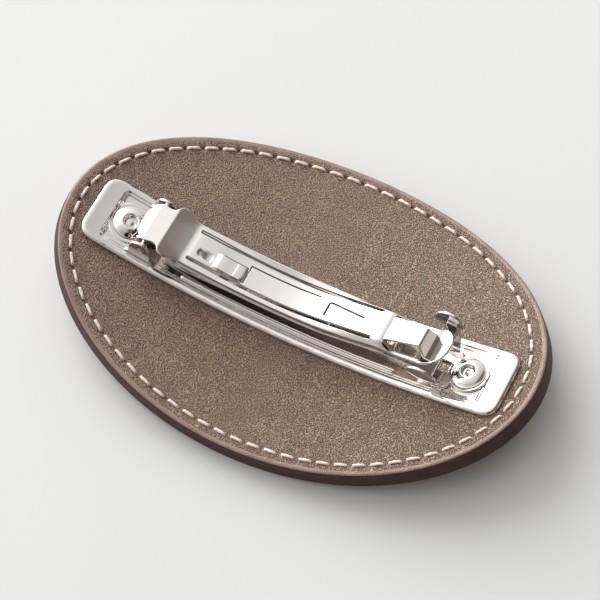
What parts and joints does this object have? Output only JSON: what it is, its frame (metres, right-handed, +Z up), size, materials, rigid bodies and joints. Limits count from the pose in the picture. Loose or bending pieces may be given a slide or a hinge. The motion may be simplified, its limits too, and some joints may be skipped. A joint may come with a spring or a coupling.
{
  "type": "oval leather hair barrette",
  "caption": "Oval barrette of stitched leather, gently bent, with a hinged metal spring clip riveted to its back to clamp a lock of hair.",
  "frame": {"origin": "on the ground under the middle of the leather oval, which lies on its bulging front", "axes": "+X along the clip from the hinge to the catch, +Y across the oval, +Z up from the leather's front towards the clip"},
  "size_m": [0.0894, 0.0576, 0.0157],
  "materials": {
    "leather_outer": "fine pebbled grain, painted dark edge",
    "leather_inner": "fine pebbled grain, painted dark edge, cream stitching",
    "nickel": "polished nickel plate"
  },
  "bodies": {
    "leather_and_base": {"leather_front": "leather_outer", "leather_back": "leather_inner", "base_plate": "nickel", "hinge_pin": "nickel", "leaf_spring": "nickel", "catch": "nickel", "rivet_hinge_end": "nickel", "rivet_catch_end": "nickel"},
    "arm": {"arm": "nickel"}
  },
  "joints": [
    {"name": "arm_hinge", "type": "hinge", "parent": "leather_and_base", "child": "arm", "pos_m": [-0.02741, -0.0009, 0.01085], "axis": [0, -1, 0], "range_deg": [0, 80]}
  ]
}
